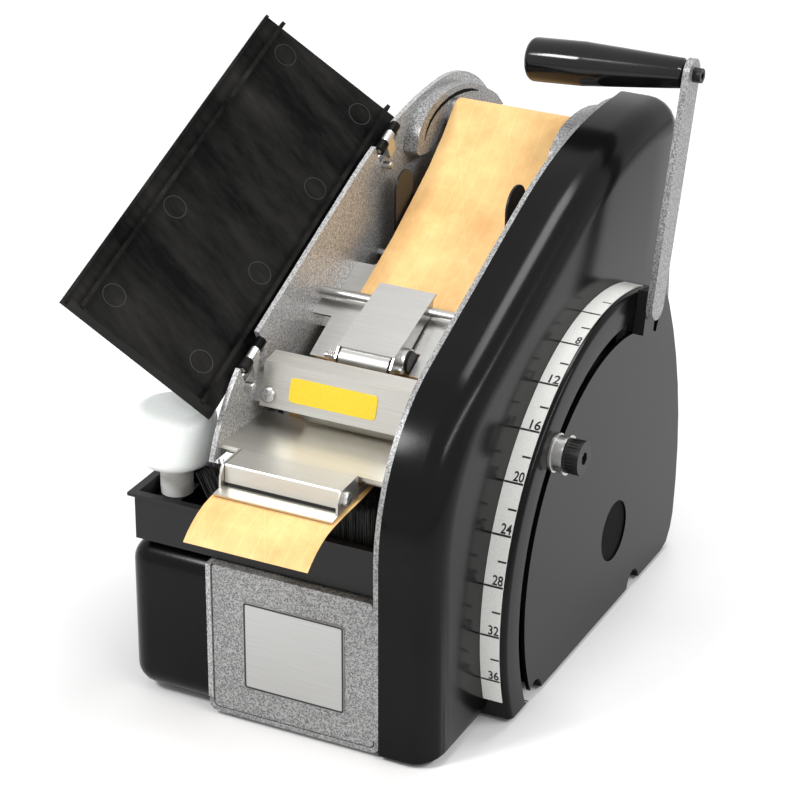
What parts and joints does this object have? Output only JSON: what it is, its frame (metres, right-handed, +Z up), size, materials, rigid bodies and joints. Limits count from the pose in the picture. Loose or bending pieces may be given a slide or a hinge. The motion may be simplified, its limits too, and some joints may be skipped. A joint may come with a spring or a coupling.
{
  "type": "gummed tape dispenser",
  "caption": "Lever-operated gummed tape dispenser: plate frame with roll, feed wheel, cutter, heated pressure plate, brush in a water tank, bottle, open lid and scale cover.",
  "frame": {"origin": "centre of the base of the outer box, on the table", "axes": "+X towards the crank cover on the operator's right, +Y from the front to the rear, +Z up"},
  "size_m": [0.2594, 0.4374, 0.3455],
  "materials": {
    "hammertone": "hammered gloss enamel",
    "plate_silver": "satin",
    "black_gloss": "glossy, lightly grained",
    "black_matte": "satin",
    "aluminium": "brushed",
    "steel": "bright, lightly brushed",
    "rubber": "matte",
    "pulley_plastic": "matte",
    "kraft": "plain kraft with reinforcing threads",
    "core_board": "matte",
    "white_scale": "satin",
    "yellow_label": "satin",
    "bristle": "matte",
    "bottle_white": "translucent milky"
  },
  "bodies": {
    "frame": {"base_pan": "hammertone", "left_side_plate": "hammertone", "right_side_plate": "hammertone", "front_panel": "hammertone", "name_plate": "plate_silver", "feet": "rubber", "cross_rods": "steel", "left_housing": "black_gloss", "cord_gland": "black_matte", "right_cover": "black_gloss", "scale_strip": "white_scale", "rear_panel": "hammertone", "bar_brackets": "hammertone", "top_guide_bar": "steel", "tape_guide": "steel", "tape_bed": "steel", "blade_guard": "aluminium", "guard_label": "yellow_label", "guard_screws": "steel", "blade_bar": "steel", "fixed_blade": "steel", "blade_guides": "steel", "platen": "aluminium", "lid_hinges": "steel", "drive_stubs": "steel", "drive_belts": "rubber", "roll_axle": "steel", "tape_web": "kraft", "tape_tongue": "kraft"},
    "lever": {"lever_hub": "steel", "slot_block": "black_matte", "lever_arm": "hammertone", "grip_pin": "black_matte"},
    "grip": {"grip": "black_gloss"},
    "counter": {"counter_pulley": "pulley_plastic"},
    "feed": {"feed_shaft": "steel", "feed_pulley": "pulley_plastic", "feed_wheel": "rubber"},
    "hood": {"roller_hood": "steel", "roller_axle": "steel", "hood_spring": "steel"},
    "roller": {"pressure_roller": "steel"},
    "roll": {"tape_roll": "kraft", "roll_core": "core_board", "roll_hubs": "black_matte"},
    "stop": {"stop_spacer": "steel"},
    "stop_head": {"stop_knob": "black_matte"},
    "lid": {"lid": "black_gloss"},
    "heater": {"heater_block": "aluminium", "heater_element": "steel", "u_bracket": "aluminium", "bracket_screws": "steel"},
    "blade": {"moving_blade": "steel"},
    "fin_left": {"left_guide_fin": "black_matte"},
    "fin_right": {"right_guide_fin": "black_matte"},
    "tank": {"water_tank": "black_matte", "brush_holder": "black_matte", "brush_bristles": "bristle"},
    "bottle": {"water_bottle": "bottle_white", "bottle_cap": "bottle_white"}
  },
  "joints": [
    {"name": "lever_swing", "type": "hinge", "parent": "frame", "child": "lever", "pos_m": [0.00594, 0.0385, 0.058], "axis": [1, 0, 0], "range_deg": [0, 48]},
    {"name": "grip_spin", "type": "hinge", "parent": "lever", "child": "grip", "pos_m": [0.06896, 0.11491, 0.32274], "axis": [0.9976, 0, 0.0698], "continuous": true},
    {"name": "counter_spin", "type": "hinge", "parent": "frame", "child": "counter", "pos_m": [0.08094, -0.0185, 0.085], "axis": [1, 0, 0], "continuous": true},
    {"name": "feed_spin", "type": "hinge", "parent": "frame", "child": "feed", "pos_m": [0.00594, -0.0715, 0.1673], "axis": [1, 0, 0], "continuous": true},
    {"name": "hood_lift", "type": "hinge", "parent": "frame", "child": "hood", "pos_m": [0.00594, -0.0325, 0.2138], "axis": [-1, 0, 0], "range_deg": [0, 35]},
    {"name": "roller_spin", "type": "hinge", "parent": "hood", "child": "roller", "pos_m": [0.00594, -0.0735, 0.1946], "axis": [1, 0, 0], "continuous": true},
    {"name": "roll_spin", "type": "hinge", "parent": "frame", "child": "roll", "pos_m": [0.00594, 0.1235, 0.105], "axis": [1, 0, 0], "continuous": true},
    {"name": "stop_set", "type": "hinge", "parent": "frame", "child": "stop", "pos_m": [0.00594, 0.0385, 0.058], "axis": [1, 0, 0], "range_deg": [-48, 62]},
    {"name": "stop_clamp", "type": "hinge", "parent": "stop", "child": "stop_head", "pos_m": [0.12374, -0.04879, 0.15161], "axis": [1, 0, 0], "range_deg": [0, 180]},
    {"name": "lid_close", "type": "hinge", "parent": "frame", "child": "lid", "pos_m": [-0.04476, -0.15848, 0.18942], "axis": [0, 0.9178, 0.3971], "range_deg": [0, 138.5]},
    {"name": "heater_lift", "type": "hinge", "parent": "frame", "child": "heater", "pos_m": [0.00594, -0.1445, 0.161], "axis": [-1, 0, 0], "range_deg": [0, 20]},
    {"name": "blade_stroke", "type": "slide", "parent": "frame", "child": "blade", "axis": [0, 0, 1], "range_m": [0, 0.0105]},
    {"name": "left_fin_set", "type": "slide", "parent": "frame", "child": "fin_left", "axis": [-1, 0, 0], "range_m": [0, 0.009]},
    {"name": "right_fin_set", "type": "slide", "parent": "frame", "child": "fin_right", "axis": [1, 0, 0], "range_m": [0, 0.009]},
    {"name": "tank_out", "type": "slide", "parent": "frame", "child": "tank", "axis": [-1, 0, 0], "range_m": [0, 0.17]},
    {"name": "bottle_out", "type": "slide", "parent": "tank", "child": "bottle", "axis": [0, 0, 1], "range_m": [0, 0.011]}
  ],
  "couplings": [
    {"joint": "counter_spin", "follows": "lever_swing", "ratio": 5.1111},
    {"joint": "feed_spin", "follows": "lever_swing", "ratio": 27.472},
    {"joint": "roller_spin", "follows": "lever_swing", "ratio": -63.186},
    {"joint": "roll_spin", "follows": "lever_swing", "ratio": 5.9469}
  ]
}
